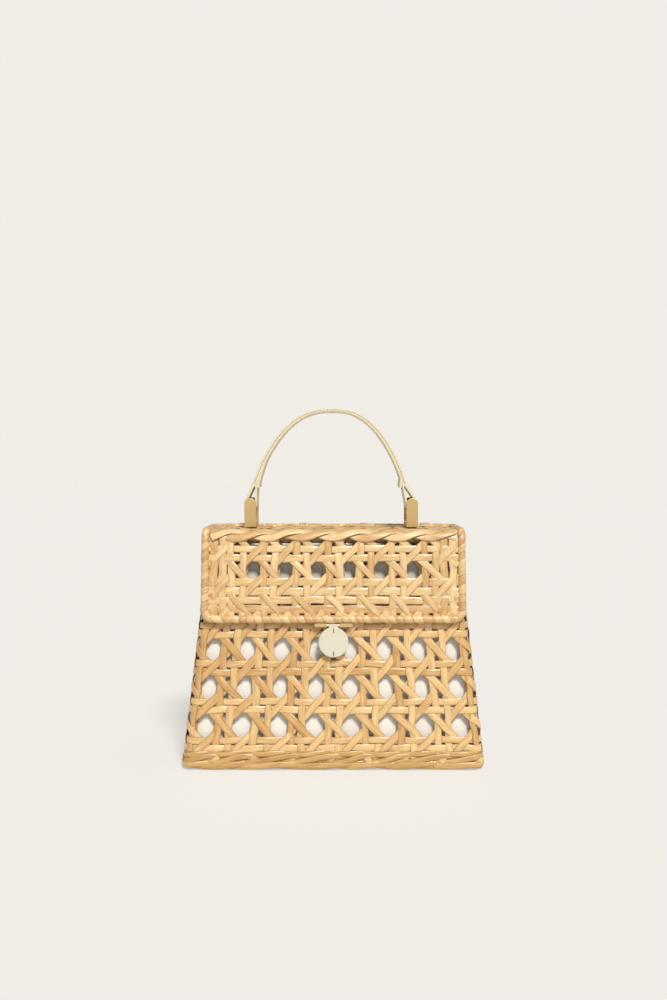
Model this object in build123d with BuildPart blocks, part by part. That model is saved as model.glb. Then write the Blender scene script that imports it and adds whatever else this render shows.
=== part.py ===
from build123d import *
from math import asin, atan2, copysign, cos, floor, hypot, pi, sin, sqrt, tan
import os

# A small handbag of woven cane: a tapered body on a twined base, a woven flap lashed to the
# back edge, an arched leather handle pinned in two metal forks, and a round metal clasp.
# Millimetres. The origin is the middle of the base on the table, +Z is up and the front is -Y.

# Body
body_height = 196.0
foot_width = 254.0
head_width = 212.0
foot_depth = 112.0
head_depth = 68.0
corner_radius = 9.0

# Cane: uprights and crossing strands run in pairs, slanting strands cut the corners of the gaps
sheet = 1.6
upright_strand = 6.2
upright_space = 4.2
upright_ridge = 1.1
cross_strand = 5.5
cross_space = 2.3
slant_strand = 5.3
gap_inset = 0.35
row_pitch = 31.7
first_row = 39.8
front_columns = 8
side_columns = 3
front_open_rows = 3

# Base
band_height = 14.0
band_thickness = 4.5
band_proud = 1.5
base_lift = 2.0

# Frame inside the weave
frame_rod = 5.0
rim_rod = 7.0
rod_sides = 8
bend_facets = 3
round_sides = 12
seat_gap = 0.3

# Lining
lining_standoff = 2.0
cloth = 1.0
lining_slack = 1.0

# Flap
flap_overhang = 6.5
flap_rod = 7.0
flap_bend = 9.0
flap_corner = 8.0
flap_drop = 73.8
flap_columns = 6
flap_pitch = 27.3
flap_top_rows = (2, 3)
flap_row_rise = 41.8
border_strands = 2

# Hinge lashings
lashing = 1.0
lashing_places = (-84.0, -28.0, 28.0, 84.0)
lashing_width = 7.0
lashing_slack = 0.25
lashing_room = 0.5

# Handle
handle_back = 0.35
strap_width = 26.0
outer_leather = 2.0
inner_leather = 2.4
handle_aside = -2.0
arch_left = 71.5
arch_right = 66.5
arch_peak = 0.9
arch_base = 5.2
arch_rise = 75.7
arch_spread = 0.79
arch_climb = 1.64
arch_facets = 20
loop_rise = 17.8
loop_liner = 1.4
loop_tip = 2.5
tip_half_width = 0.4
loop_sides = 20

# Forks that hold the handle
fork_spacing = 142.0
fork_width = 10.2
fork_wall = 2.0
fork_foot = 6.0
fork_bridge = 2.5
fork_foot_back = 9.0
pin_radius = 2.0
pin_rise = 20.5
pin_seat = 1.0
pin_head_radius = 3.4
pin_head = 1.2
bore_slack = 0.1
screw_sides = 6
strap_slack = 0.5
backing_thickness = 1.5
backing_length = 22.0
backing_width = 14.0
screw_radius = 1.4
screw_spacing = 7.0
screw_head_radius = 2.4
screw_head = 1.0
screw_grip = 4.0

# Clasp
disc_radius = 12.65
disc_thickness = 3.0
disc_drop = 14.3
disc_chamfer = 0.5
disc_sides = 60
mark_length = 4.2
mark_width = 0.8
mark_depth = 0.4
mark_inset = 0.9
magnet_radius = 6.0
magnet_thickness = 1.5
hanger_length = 32.0
hanger_depth = 4.4
hanger_height = 3.0
hanger_web = 0.7
hanger_slot = 11.0
knuckle_length = 8.0
knuckle_radius = 1.15
clasp_pin_radius = 0.6
neck_thickness = 1.6
clasp_bore_slack = 0.05
hanger_screw_radius = 0.9
hanger_screw_grip = 4.5
hanger_screw_spacing = 22.0
hanger_screw_head_radius = 1.6
hanger_screw_head = 0.7
strike_radius = 10.0
strike_seat = 1.0
rivet_radius = 1.5
rivet_head_radius = 3.0
rivet_head = 0.6
washer_radius = 6.0
washer_thickness = 1.0


# Sizes and places worked out from those above


def width_at(height):
    return foot_width + (head_width - foot_width) * height / body_height


def depth_at(height):
    return foot_depth + (head_depth - foot_depth) * height / body_height


def side_span(height):
    return depth_at(height) - corner_radius


front_lean = atan2((foot_depth - head_depth) / 2, body_height)
side_lean = atan2((foot_width - head_width) / 2, body_height)
front_normal = (0, -cos(front_lean), sin(front_lean))

front_face = Plane((0, -foot_depth / 2, 0), x_dir=(1, 0, 0), z_dir=front_normal)
back_face = Plane((0, foot_depth / 2, 0), x_dir=(-1, 0, 0), z_dir=(0, cos(front_lean), sin(front_lean)))
left_face = Plane((-foot_width / 2, 0, 0), x_dir=(0, -1, 0), z_dir=(-cos(side_lean), 0, sin(side_lean)))
right_face = Plane((foot_width / 2, 0, 0), x_dir=(0, 1, 0), z_dir=(cos(side_lean), 0, sin(side_lean)))

upright_pair = 2 * upright_strand + upright_space
cross_pair = 2 * cross_strand + cross_space
upright_offset = (upright_strand + upright_space) / 2

wall_top = body_height - rim_rod - lashing - seat_gap
gap_rows = 1 + floor((wall_top - first_row - (row_pitch - cross_pair) / 2) / row_pitch)
row_heights = [first_row + row * row_pitch for row in range(gap_rows)]

band_width = foot_width + 2 * band_proud
band_depth = foot_depth + 2 * band_proud
band_corner = corner_radius + band_proud
floor_width = band_width - 2 * band_thickness
floor_depth = band_depth - 2 * band_thickness
floor_corner = band_corner - band_thickness
floor_top = base_lift + sheet

flat_turn = 180 / rod_sides
rim_height = body_height - rim_rod / 2
hinge_back = depth_at(rim_height) / 2 - rim_rod / 2
hinge_height = body_height + seat_gap + flap_rod / 2

flap_standoff = upright_ridge + seat_gap + flap_rod / 2
rod_half = head_width / 2 + flap_overhang - flap_rod / 2
lower_rim_height = hinge_height - flap_drop
lower_rim_climb = lower_rim_height / cos(front_lean)
flap_first_row = lower_rim_climb + flap_row_rise


def front_mid(height, rise=0.0):
    """How far forward the flap's drop lies at a height, on a surface that rises off its middle."""
    return -depth_at(height) / 2 - (flap_standoff + rise) / cos(front_lean)


drop_face = Plane((0, front_mid(0), 0), x_dir=(1, 0, 0), z_dir=front_normal)
bend_turn = pi / 2 - front_lean
bend_tangent = flap_bend * tan(bend_turn / 2)
bend_start = hinge_height / cos(front_lean) - bend_tangent
bend_back = front_mid(hinge_height) + bend_tangent


def flap_place(climb):
    """Plane on the flap's middle surface, a way up its drop, round its bend and along its top."""
    turned = (climb - bend_start) / flap_bend
    if turned <= 0:
        return Plane(drop_face.from_local_coords((0, climb, 0)), x_dir=(1, 0, 0), z_dir=front_normal)
    if turned >= bend_turn:
        past = flap_bend * (turned - bend_turn)
        return Plane((0, bend_back + past, hinge_height), x_dir=(1, 0, 0), z_dir=(0, 0, 1))
    outward = Vector(0, -cos(front_lean + turned), sin(front_lean + turned))
    middle = Vector(0, bend_back, hinge_height - flap_bend)
    return Plane(middle + outward * flap_bend, x_dir=(1, 0, 0), z_dir=outward)


def body_block(low, high, skin, corner):
    """The body's tapered block between two heights, with its faces moved out by skin."""
    with BuildPart() as block:
        with BuildSketch(Plane.XY.offset(low)):
            Rectangle(2 * foot_width, 2 * foot_depth)
        extrude(amount=high - low)
        for face in (front_face, back_face, left_face, right_face):
            split(bisect_by=face.offset(skin), keep=Keep.BOTTOM)
        slants = block.edges().filter_by(lambda edge: abs(edge.tangent_at(0.5).Z) > 0.5)
        fillet(slants, corner)
    return block.part


def gap_corners(across, along):
    """Corners of one gap in a weave of the given pitches, between pairs and slanting strands."""
    half_width = (across - upright_pair) / 2 - gap_inset
    half_height = (along - cross_pair) / 2 - gap_inset
    reach = 0.5 - slant_strand / 2 * hypot(1 / across, 1 / along)
    side = (reach - half_width / across) * along
    right = [(0, -half_height), (half_width, -side), (half_width, side)]
    return right + [(0, half_height), (-half_width, side), (-half_width, -side)]


def woven_wall(face, lean, size_at, columns, heights, cuts):
    """One wall of the body: its share of the sheet, with raised uprights and gaps."""
    with BuildPart() as wall:
        add(body_block(band_height, wall_top, 0, corner_radius))
        inside = body_block(band_height - sheet, wall_top + sheet, -sheet, corner_radius - sheet)
        add(inside, mode=Mode.SUBTRACT)
        for cut, keep in cuts:
            split(bisect_by=cut, keep=keep)
        with BuildSketch(face):
            for column in range(1, columns):
                for side in (-1, 1):
                    foot_x = (column / columns - 0.5) * size_at(0) + side * upright_offset
                    head_x = (column / columns - 0.5) * size_at(body_height) + side * upright_offset
                    Polygon(
                        (foot_x - upright_strand / 2, 0),
                        (foot_x + upright_strand / 2, 0),
                        (head_x + upright_strand / 2, body_height / cos(lean)),
                        (head_x - upright_strand / 2, body_height / cos(lean)),
                        align=None,
                    )
        extrude(amount=upright_ridge)
        split(bisect_by=Plane.XY.offset(band_height), keep=Keep.TOP)
        split(bisect_by=Plane.XY.offset(wall_top), keep=Keep.BOTTOM)
        with BuildSketch(face):
            for height in heights:
                across = size_at(height) / columns
                for column in range(columns):
                    with Locations(((column + 0.5 - columns / 2) * across, height / cos(lean))):
                        Polygon(*gap_corners(across, row_pitch), align=None)
        extrude(amount=2 * sheet, both=True, mode=Mode.SUBTRACT)
    return wall


def eased_points(path_points, corners):
    """The path's points, with each corner turned in short facets round its own radius."""
    points = [Vector(path_points[0])]
    for before, corner, after, radius in zip(path_points, path_points[1:], path_points[2:], corners):
        arriving = (Vector(corner) - Vector(before)).normalized()
        leaving = (Vector(after) - Vector(corner)).normalized()
        turn = arriving.get_angle(leaving) * pi / 180
        middle = Vector(corner) + (leaving - arriving).normalized() * (radius / cos(turn / 2))
        start = Vector(corner) - arriving * (radius * tan(turn / 2))
        for step in range(bend_facets + 1):
            turned = turn * step / bend_facets
            points.append(middle + (start - middle) * cos(turned) + arriving * (radius * sin(turned)))
    return points + [Vector(path_points[-1])]


def rod_along(path_points, corners, diameter):
    """A rod bent along a path, with flats that stand for its hand-shaved sides."""
    with BuildPart() as rod:
        with BuildLine() as path:
            Polyline(*eased_points(path_points, corners))
        with BuildSketch(Plane(origin=path.line @ 0, z_dir=path.line % 0)):
            RegularPolygon(diameter / 2, rod_sides, major_radius=False, rotation=flat_turn)
        sweep(transition=Transition.RIGHT)
    return rod


os.makedirs("parts", exist_ok=True)

# Walls: the sheet turns the rounded corners with the front and the back
behind_front = front_face.offset(-corner_radius)
behind_back = back_face.offset(-corner_radius)
behind_left = left_face.offset(-corner_radius)
behind_right = right_face.offset(-corner_radius)
between = [(behind_front, Keep.BOTTOM), (behind_back, Keep.BOTTOM)]

clasp_climb = lower_rim_climb - flap_rod / 2 - hanger_height / 2
disc_climb = clasp_climb - disc_drop
strike_climb = disc_climb - flap_standoff * tan(front_lean)

in_front = [(behind_front, Keep.TOP)]
open_rows = row_heights[:front_open_rows]
front_wall = woven_wall(front_face, front_lean, width_at, front_columns, open_rows, in_front)
with BuildPart() as front_weave:
    add(front_wall.part)
    with BuildSketch(front_face):
        with Locations((0, strike_climb)):
            RegularPolygon(rivet_radius + bore_slack, screw_sides)
    extrude(amount=2 * sheet, both=True, mode=Mode.SUBTRACT)
front_weave.part.label = "front_weave"
export_step(front_weave.part, "parts/front_weave.step")

at_back = [(behind_back, Keep.TOP)]
back_weave = woven_wall(back_face, front_lean, width_at, front_columns, row_heights, at_back)
back_weave.part.label = "back_weave"
export_step(back_weave.part, "parts/back_weave.step")

at_left = between + [(behind_left, Keep.TOP)]
left_side_weave = woven_wall(left_face, side_lean, side_span, side_columns, row_heights, at_left)
left_side_weave.part.label = "left_side_weave"
export_step(left_side_weave.part, "parts/left_side_weave.step")

at_right = between + [(behind_right, Keep.TOP)]
right_side_weave = woven_wall(right_face, side_lean, side_span, side_columns, row_heights, at_right)
right_side_weave.part.label = "right_side_weave"
export_step(right_side_weave.part, "parts/right_side_weave.step")

# Base band: the twined courses round the foot
with BuildPart() as base_band:
    with BuildSketch():
        RectangleRounded(band_width, band_depth, band_corner)
    extrude(amount=band_height)
    with BuildSketch():
        RectangleRounded(floor_width, floor_depth, floor_corner)
    extrude(amount=band_height, mode=Mode.SUBTRACT)
base_band.part.label = "base_band"
export_step(base_band.part, "parts/base_band.step")

# Base weave: the mat inside the band
with BuildPart() as base_weave:
    with BuildSketch(Plane.XY.offset(base_lift)):
        RectangleRounded(floor_width, floor_depth, floor_corner)
    extrude(amount=sheet)
base_weave.part.label = "base_weave"
export_step(base_weave.part, "parts/base_weave.step")

# Frame: a split rod round the base, four posts in the corners and a rod round the rim
frame_inset = frame_rod / 2 + seat_gap
with BuildPart() as base_frame:
    with BuildSketch(Plane.XY.offset(floor_top)):
        RectangleRounded(floor_width - 2 * seat_gap, floor_depth - 2 * seat_gap, floor_corner - seat_gap)
        Rectangle(
            floor_width - 2 * seat_gap - 2 * frame_rod,
            floor_depth - 2 * seat_gap - 2 * frame_rod,
            mode=Mode.SUBTRACT,
        )
    extrude(amount=frame_rod)
base_frame.part.label = "base_frame"
export_step(base_frame.part, "parts/base_frame.step")

rim_width = width_at(rim_height)
rim_depth = depth_at(rim_height)
with BuildPart() as top_rim:
    with BuildSketch(Plane.XY.offset(body_height - rim_rod)):
        RectangleRounded(rim_width, rim_depth, corner_radius)
        Rectangle(rim_width - 2 * rim_rod, rim_depth - 2 * rim_rod, mode=Mode.SUBTRACT)
    extrude(amount=rim_rod)
top_rim.part.label = "top_rim"
export_step(top_rim.part, "parts/top_rim.step")

post_foot = floor_top + frame_rod
post_head = body_height - rim_rod
foot_reach = (floor_corner - frame_inset) * sqrt(0.5)
foot_x = floor_width / 2 - floor_corner + foot_reach
foot_y = floor_depth / 2 - floor_corner + foot_reach
head_reach = (corner_radius - sheet - frame_rod / 2 - seat_gap) * sqrt(0.5)
head_x = width_at(post_head) / 2 - corner_radius + head_reach
head_y = depth_at(post_head) / 2 - corner_radius + head_reach
for across, side_x in (("left", -1), ("right", 1)):
    for along, side_y in (("front", -1), ("back", 1)):
        with BuildPart() as corner_post:
            with BuildSketch(Plane.XY.offset(post_foot)):
                with Locations((side_x * foot_x, side_y * foot_y)):
                    RegularPolygon(frame_rod / 2, rod_sides, major_radius=False, rotation=flat_turn)
            leaning = (side_x * (head_x - foot_x), side_y * (head_y - foot_y), post_head - post_foot)
            extrude(amount=Vector(leaning).length, dir=leaning)
        corner_post.part.label = f"{across}_{along}_post"
        export_step(corner_post.part, f"parts/{across}_{along}_post.step")

# Lining: an open cloth pouch that stands on the base rod and clears the posts in the corners
lining_inset = sheet + lining_standoff
lining_low = post_foot + seat_gap
post_inset = width_at(post_foot) / 2 - foot_x + frame_rod / 2 * sqrt(0.5)
lining_corner = (post_inset + lining_slack - lining_inset) / (1 - sqrt(0.5))
with BuildPart() as lining:
    add(body_block(lining_low, wall_top, -lining_inset, lining_corner))
    hollow = body_block(lining_low + cloth, wall_top + cloth, -lining_inset - cloth, lining_corner - cloth)
    add(hollow, mode=Mode.SUBTRACT)
lining.part.label = "lining"
export_step(lining.part, "parts/lining.step")

# Flap rods: a straight one in the hinge, two that bend round each side, and the lower rim
lower_rim_front = front_mid(lower_rim_height)
straight_half = rod_half - 2 * flap_corner
with BuildPart() as flap_rear_rod:
    with BuildSketch(Plane.YZ.offset(-straight_half)):
        with Locations((hinge_back, hinge_height)):
            Circle(flap_rod / 2)
    extrude(amount=2 * straight_half)
flap_rear_rod.part.label = "flap_rear_rod"
export_step(flap_rear_rod.part, "parts/flap_rear_rod.step")

flap_rims = []
for across, side in (("left", -1), ("right", 1)):
    flap_rim = rod_along(
        [
            (side * straight_half, hinge_back, hinge_height),
            (side * rod_half, hinge_back, hinge_height),
            (side * rod_half, front_mid(hinge_height), hinge_height),
            (side * rod_half, lower_rim_front, lower_rim_height),
            (side * straight_half, lower_rim_front, lower_rim_height),
        ],
        [flap_corner, flap_bend, flap_corner],
        flap_rod,
    )
    flap_rim.part.label = f"flap_{across}_rim"
    export_step(flap_rim.part, f"parts/flap_{across}_rim.step")
    flap_rims.append(flap_rim.part)

screw_bore = hanger_screw_radius + bore_slack
rim_middle = drop_face.from_local_coords((0, lower_rim_climb, 0))
rim_under = drop_face.from_local_coords((0, lower_rim_climb - flap_rod / 2, 0))
with BuildPart() as lower_rod:
    with BuildSketch(Plane(rim_middle, x_dir=drop_face.y_dir, z_dir=(1, 0, 0))):
        RegularPolygon(flap_rod / 2, rod_sides, major_radius=False, rotation=flat_turn)
    extrude(amount=straight_half, both=True)
with BuildPart() as flap_lower_rim:
    add(lower_rod.part)
    with BuildSketch(Plane(rim_under, x_dir=(1, 0, 0), z_dir=drop_face.y_dir)):
        with GridLocations(hanger_screw_spacing, 1, 2, 1):
            RegularPolygon(screw_bore, screw_sides)
    extrude(amount=hanger_screw_grip, mode=Mode.SUBTRACT)
flap_lower_rim.part.label = "flap_lower_rim"
export_step(flap_lower_rim.part, "parts/flap_lower_rim.step")


def flap_layer(rise, thickness):
    """Side view of a layer of the flap: along the top, round the bend and down the drop."""
    with BuildSketch() as layer:
        with BuildLine():
            FilletPolyline(
                (hinge_back, hinge_height + rise),
                (front_mid(hinge_height + rise, rise), hinge_height + rise),
                (front_mid(lower_rim_height, rise), lower_rim_height),
                radius=flap_bend + rise,
            )
        trace(line_width=thickness)
    return layer.sketch


# Flap weave: the drop in front with raised uprights, then the bend and the top behind it
pair_places = [(pair - flap_columns / 2) * flap_pitch for pair in range(flap_columns + 1)]
upright_places = [(place + side * upright_offset, upright_strand) for place in pair_places for side in (-1, 1)]
border_start = flap_columns / 2 * flap_pitch + upright_pair / 2
border_pitch = (rod_half - flap_rod / 2 - border_start) / border_strands
for strand in range(border_strands):
    place = border_start + (strand + 0.5) * border_pitch
    upright_places += [(place, border_pitch - seat_gap), (-place, border_pitch - seat_gap)]

flap_split = Plane(flap_place(bend_start).origin, x_dir=(1, 0, 0), z_dir=flap_place(bend_start).y_dir)
with BuildPart() as flap_drop_sheet:
    with BuildSketch(Plane.YZ):
        add(flap_layer(0, sheet))
    extrude(amount=rod_half, both=True)
    with BuildSketch(drop_face.offset(sheet / 2)):
        for place, strand in upright_places:
            with Locations((place, lower_rim_climb)):
                Rectangle(strand, bend_start - lower_rim_climb, align=(Align.CENTER, Align.MIN))
    extrude(amount=upright_ridge)
    with BuildSketch(flap_place(flap_first_row)):
        with GridLocations(flap_pitch, 1, flap_columns, 1):
            Polygon(*gap_corners(flap_pitch, flap_pitch), align=None)
    extrude(amount=flap_bend / 2, both=True, mode=Mode.SUBTRACT)
    for rod in flap_rims + [lower_rod.part]:
        add(rod, mode=Mode.SUBTRACT)
    split(bisect_by=flap_split, keep=Keep.BOTTOM)

lashing_reach = flap_rod / 2 + lashing_slack + lashing + lashing_room
with BuildPart() as flap_top_sheet:
    with BuildSketch(Plane.YZ):
        add(flap_layer(upright_ridge / 2, sheet + upright_ridge))
    extrude(amount=rod_half, both=True)
    split(bisect_by=flap_split, keep=Keep.TOP)
    for row in flap_top_rows:
        with BuildSketch(flap_place(flap_first_row + row * flap_pitch)):
            with GridLocations(flap_pitch, 1, flap_columns, 1):
                Polygon(*gap_corners(flap_pitch, flap_pitch), align=None)
        extrude(amount=flap_bend / 2, both=True, mode=Mode.SUBTRACT)
    for rod in flap_rims + [flap_rear_rod.part]:
        add(rod, mode=Mode.SUBTRACT)
    with BuildSketch(Plane.XY.offset(hinge_height)):
        for place in lashing_places:
            with Locations((place, hinge_back)):
                Rectangle(lashing_width + 2 * lashing_room, 2 * lashing_reach)
        for side in (-1, 1):
            with Locations((handle_aside + side * fork_spacing / 2, handle_back)):
                with GridLocations(1, screw_spacing, 1, 2):
                    RegularPolygon(screw_radius + bore_slack, screw_sides)
    extrude(amount=flap_rod, both=True, mode=Mode.SUBTRACT)
with BuildPart() as flap_top_weave:
    add(flap_top_sheet.solids().sort_by(SortBy.VOLUME)[-1])
flap_top_weave.part.label = "flap_top_weave"
export_step(flap_top_weave.part, "parts/flap_top_weave.step")

with BuildPart() as flap_front_weave:
    add(flap_drop_sheet.solids().sort_by(SortBy.VOLUME)[-1])
flap_front_weave.part.label = "flap_front_weave"
export_step(flap_front_weave.part, "parts/flap_front_weave.step")


def lashing_shape(skin):
    """Side view of a hull round the rim's square rod and the flap's round rod above it."""
    with BuildSketch() as shape:
        with Locations((hinge_back, rim_height)):
            Rectangle(rim_rod + 2 * skin, rim_rod + 2 * skin)
        with Locations((hinge_back, hinge_height)):
            RegularPolygon(flap_rod / 2 + lashing_slack + skin, round_sides, major_radius=False)
        make_hull(shape.sketch.edges())
    return shape.sketch


# Hinge lashings: cane bound round the rim's back rod, loose round the flap's rod above it
for number, place in enumerate(lashing_places, 1):
    with BuildPart() as hinge_lashing:
        with BuildSketch(Plane.YZ.offset(place - lashing_width / 2)):
            add(lashing_shape(lashing))
            add(lashing_shape(0), mode=Mode.SUBTRACT)
        extrude(amount=lashing_width)
    hinge_lashing.part.label = f"hinge_lashing_{number}"
    export_step(hinge_lashing.part, f"parts/hinge_lashing_{number}.step")


# Handle: a leather strap arched between the forks, round a pin in each
loop_inner = pin_radius + 2 * bore_slack + loop_liner
strap_thickness = outer_leather + inner_leather
lining_rise = strap_thickness / 2 - outer_leather
handle_plane = Plane.XZ.offset(-handle_back)
fork_seat = hinge_height + sheet / 2 + upright_ridge
fork_reach = strap_width / 2 + strap_slack + fork_wall
pin_height = fork_seat + pin_rise
arch_foot = pin_height + loop_rise
loop_point = arch_foot - loop_tip
liner_drop = 4 * bore_slack


def arch_point(turned, rise):
    """Point on a full arch at a turn round its middle and a distance from the strap's middle line."""
    reach = (arch_left if turned < pi / 2 else arch_right) + rise
    out = copysign(abs(cos(turned)) ** arch_spread, cos(turned))
    up = sin(turned) ** arch_climb
    return (arch_peak + handle_aside - reach * out, pin_height + arch_base + (arch_rise + rise) * up)


def arch_points(rise):
    """Points along the arch at a distance from the strap's middle line, from foot to foot."""
    low = asin(((loop_rise - arch_base) / (arch_rise + rise)) ** (1 / arch_climb))
    turns = [low + (pi - 2 * low) * step / arch_facets for step in range(arch_facets + 1)]
    return [arch_point(turned, rise) for turned in turns]


def arch_layer(inner, outer):
    """One leather layer of the handle, from foot to foot."""
    with BuildPart() as layer:
        with BuildSketch(handle_plane):
            Polygon(*arch_points(inner), *reversed(arch_points(outer)), align=None)
        extrude(amount=strap_width / 2, both=True)
    return layer


def drop_shape(pin_x, radius, tip, tip_ends):
    """A ring's outline round the pin, drawn up to a flat tip between two ends."""
    with BuildSketch() as shape:
        with Locations((pin_x, pin_height)):
            RegularPolygon(radius, loop_sides)
        tip_edge = Edge.make_line((tip_ends[0], tip), (tip_ends[1], tip))
        make_hull(shape.sketch.edges() + [tip_edge])
    return shape.sketch


handle_lining = arch_layer(-strap_thickness / 2, lining_rise)
handle_lining.part.label = "handle_lining"
export_step(handle_lining.part, "parts/handle_lining.step")

outside = arch_points(strap_thickness / 2)
inside = arch_points(-strap_thickness / 2)
legs = []
for across, side, end in (("left", -1, 0), ("right", 1, -1)):
    pin_x = handle_aside + side * fork_spacing / 2
    legs.append((across, pin_x, sorted((outside[end][0], inside[end][0]))))

outer_arch = arch_layer(lining_rise, strap_thickness / 2)
with BuildPart() as handle_strap:
    add(outer_arch.part)
    for across, pin_x, foot_ends in legs:
        foot_x = sum(foot_ends) / 2
        with BuildSketch(handle_plane):
            add(drop_shape(pin_x, loop_inner + outer_leather, arch_foot, foot_ends))
            tip_ends = (foot_x - tip_half_width, foot_x + tip_half_width)
            add(drop_shape(pin_x, loop_inner, loop_point, tip_ends), mode=Mode.SUBTRACT)
        extrude(amount=strap_width / 2, both=True)
handle_strap.part.label = "handle_strap"
export_step(handle_strap.part, "parts/handle_strap.step")

# Fork fittings, the same on both sides: fork, pin, liner of the loop, backing plate and screws
fork_foot_top = fork_seat + fork_foot
under_flap = hinge_height - sheet / 2
for across, pin_x, foot_ends in legs:
    with BuildPart() as fork:
        with BuildSketch(handle_plane):
            with Locations((pin_x, (fork_seat + pin_height) / 2)):
                Rectangle(fork_width, pin_height - fork_seat)
            with Locations((pin_x, pin_height)):
                Circle(fork_width / 2)
        extrude(amount=fork_reach, both=True)
        with BuildSketch(Plane.YZ.offset(pin_x)):
            with Locations((handle_back, fork_foot_top)):
                Rectangle(
                    strap_width + 2 * strap_slack,
                    pin_height,
                    align=(Align.CENTER, Align.MIN),
                )
            with Locations((handle_back + fork_foot_back, fork_seat)):
                Rectangle(fork_reach, fork_foot - fork_bridge, align=(Align.MIN, Align.MIN))
        extrude(amount=fork_width, both=True, mode=Mode.SUBTRACT)
        with BuildSketch(handle_plane.offset(fork_reach - fork_wall + pin_seat)):
            with Locations((pin_x, pin_height)):
                RegularPolygon(pin_radius + bore_slack, round_sides)
        extrude(amount=-2 * fork_reach, mode=Mode.SUBTRACT)
        with BuildSketch(Plane.XY.offset(fork_seat)):
            with Locations((pin_x, handle_back)):
                with GridLocations(1, screw_spacing, 1, 2):
                    RegularPolygon(screw_radius + bore_slack, screw_sides)
        extrude(amount=screw_grip + bore_slack, mode=Mode.SUBTRACT)
    fork.part.label = f"{across}_fork"
    export_step(fork.part, f"parts/{across}_fork.step")

    with BuildPart() as fork_pin:
        with BuildSketch(handle_plane.offset(fork_reach - fork_wall + pin_seat)):
            with Locations((pin_x, pin_height)):
                RegularPolygon(pin_radius, round_sides)
        extrude(amount=-(2 * fork_reach - fork_wall + pin_seat))
        with BuildSketch(handle_plane.offset(-fork_reach)):
            with Locations((pin_x, pin_height)):
                RegularPolygon(pin_head_radius, round_sides)
        extrude(amount=-pin_head)
    fork_pin.part.label = f"{across}_fork_pin"
    export_step(fork_pin.part, f"parts/{across}_fork_pin.step")

    with BuildPart() as liner:
        with BuildSketch(handle_plane):
            foot_x = sum(foot_ends) / 2
            tip_x = foot_x + (pin_x - foot_x) / (loop_point - pin_height) * liner_drop
            tip_half = tip_half_width - bore_slack
            tip_ends = (tip_x - tip_half, tip_x + tip_half)
            add(drop_shape(pin_x, loop_inner - bore_slack, loop_point - liner_drop, tip_ends))
            with Locations((pin_x, pin_height)):
                RegularPolygon(pin_radius + bore_slack, round_sides, mode=Mode.SUBTRACT)
        extrude(amount=strap_width / 2, both=True)
    liner.part.label = f"{across}_loop_liner"
    export_step(liner.part, f"parts/{across}_loop_liner.step")

    with BuildPart() as backing_plate:
        with BuildSketch(Plane.XY.offset(under_flap)):
            with Locations((pin_x, handle_back)):
                Rectangle(backing_width, backing_length)
                with GridLocations(1, screw_spacing, 1, 2):
                    RegularPolygon(screw_radius + bore_slack, screw_sides, mode=Mode.SUBTRACT)
        extrude(amount=-backing_thickness)
    backing_plate.part.label = f"{across}_backing_plate"
    export_step(backing_plate.part, f"parts/{across}_backing_plate.step")

    with BuildPart() as fork_screws:
        with BuildSketch(Plane.XY.offset(fork_seat + screw_grip)):
            with Locations((pin_x, handle_back)):
                with GridLocations(1, screw_spacing, 1, 2):
                    RegularPolygon(screw_radius, screw_sides)
        extrude(amount=-(fork_seat + screw_grip - under_flap + backing_thickness))
        with BuildSketch(Plane.XY.offset(under_flap - backing_thickness)):
            with Locations((pin_x, handle_back)):
                with GridLocations(1, screw_spacing, 1, 2):
                    RegularPolygon(screw_head_radius, screw_sides)
        extrude(amount=-screw_head)
    fork_screws.part.label = f"{across}_fork_screws"
    export_step(fork_screws.part, f"parts/{across}_fork_screws.step")

# Clasp hanger: a slotted bar screwed under the lower rim, and the pin that the disc swings on
hanger_under = drop_face.from_local_coords((0, clasp_climb - hanger_height / 2, 0))
hanger_plane = Plane(hanger_under, x_dir=(1, 0, 0), z_dir=drop_face.y_dir)
clasp_axis = drop_face.from_local_coords((0, clasp_climb, 0))
clasp_side = Plane(clasp_axis, x_dir=drop_face.y_dir, z_dir=(1, 0, 0))
with BuildPart() as clasp_hanger:
    with BuildSketch(hanger_plane):
        Rectangle(hanger_length, hanger_depth)
        with Locations((0, -hanger_web)):
            Rectangle(hanger_slot, hanger_depth, mode=Mode.SUBTRACT)
        with GridLocations(hanger_screw_spacing, 1, 2, 1):
            RegularPolygon(screw_bore, screw_sides, mode=Mode.SUBTRACT)
    extrude(amount=hanger_height)
    with BuildSketch(hanger_plane):
        with GridLocations(hanger_screw_spacing, 1, 2, 1):
            RegularPolygon(hanger_screw_head_radius + bore_slack, screw_sides)
    extrude(amount=hanger_screw_head, mode=Mode.SUBTRACT)
    with BuildSketch(clasp_side):
        RegularPolygon(clasp_pin_radius + clasp_bore_slack, rod_sides)
    extrude(amount=hanger_slot / 2 + pin_seat + bore_slack, both=True, mode=Mode.SUBTRACT)
clasp_hanger.part.label = "clasp_hanger"
export_step(clasp_hanger.part, "parts/clasp_hanger.step")

with BuildPart() as clasp_pin:
    with BuildSketch(clasp_side):
        RegularPolygon(clasp_pin_radius, rod_sides)
    extrude(amount=hanger_slot / 2 + pin_seat, both=True)
clasp_pin.part.label = "clasp_pin"
export_step(clasp_pin.part, "parts/clasp_pin.step")

with BuildPart() as hanger_screws:
    with BuildSketch(hanger_plane):
        with GridLocations(hanger_screw_spacing, 1, 2, 1):
            RegularPolygon(hanger_screw_head_radius, screw_sides)
    extrude(amount=hanger_screw_head)
    with BuildSketch(hanger_plane):
        with GridLocations(hanger_screw_spacing, 1, 2, 1):
            RegularPolygon(hanger_screw_radius, screw_sides)
    extrude(amount=hanger_height + hanger_screw_grip - bore_slack)
hanger_screws.part.label = "hanger_screws"
export_step(hanger_screws.part, "parts/hanger_screws.step")

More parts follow.
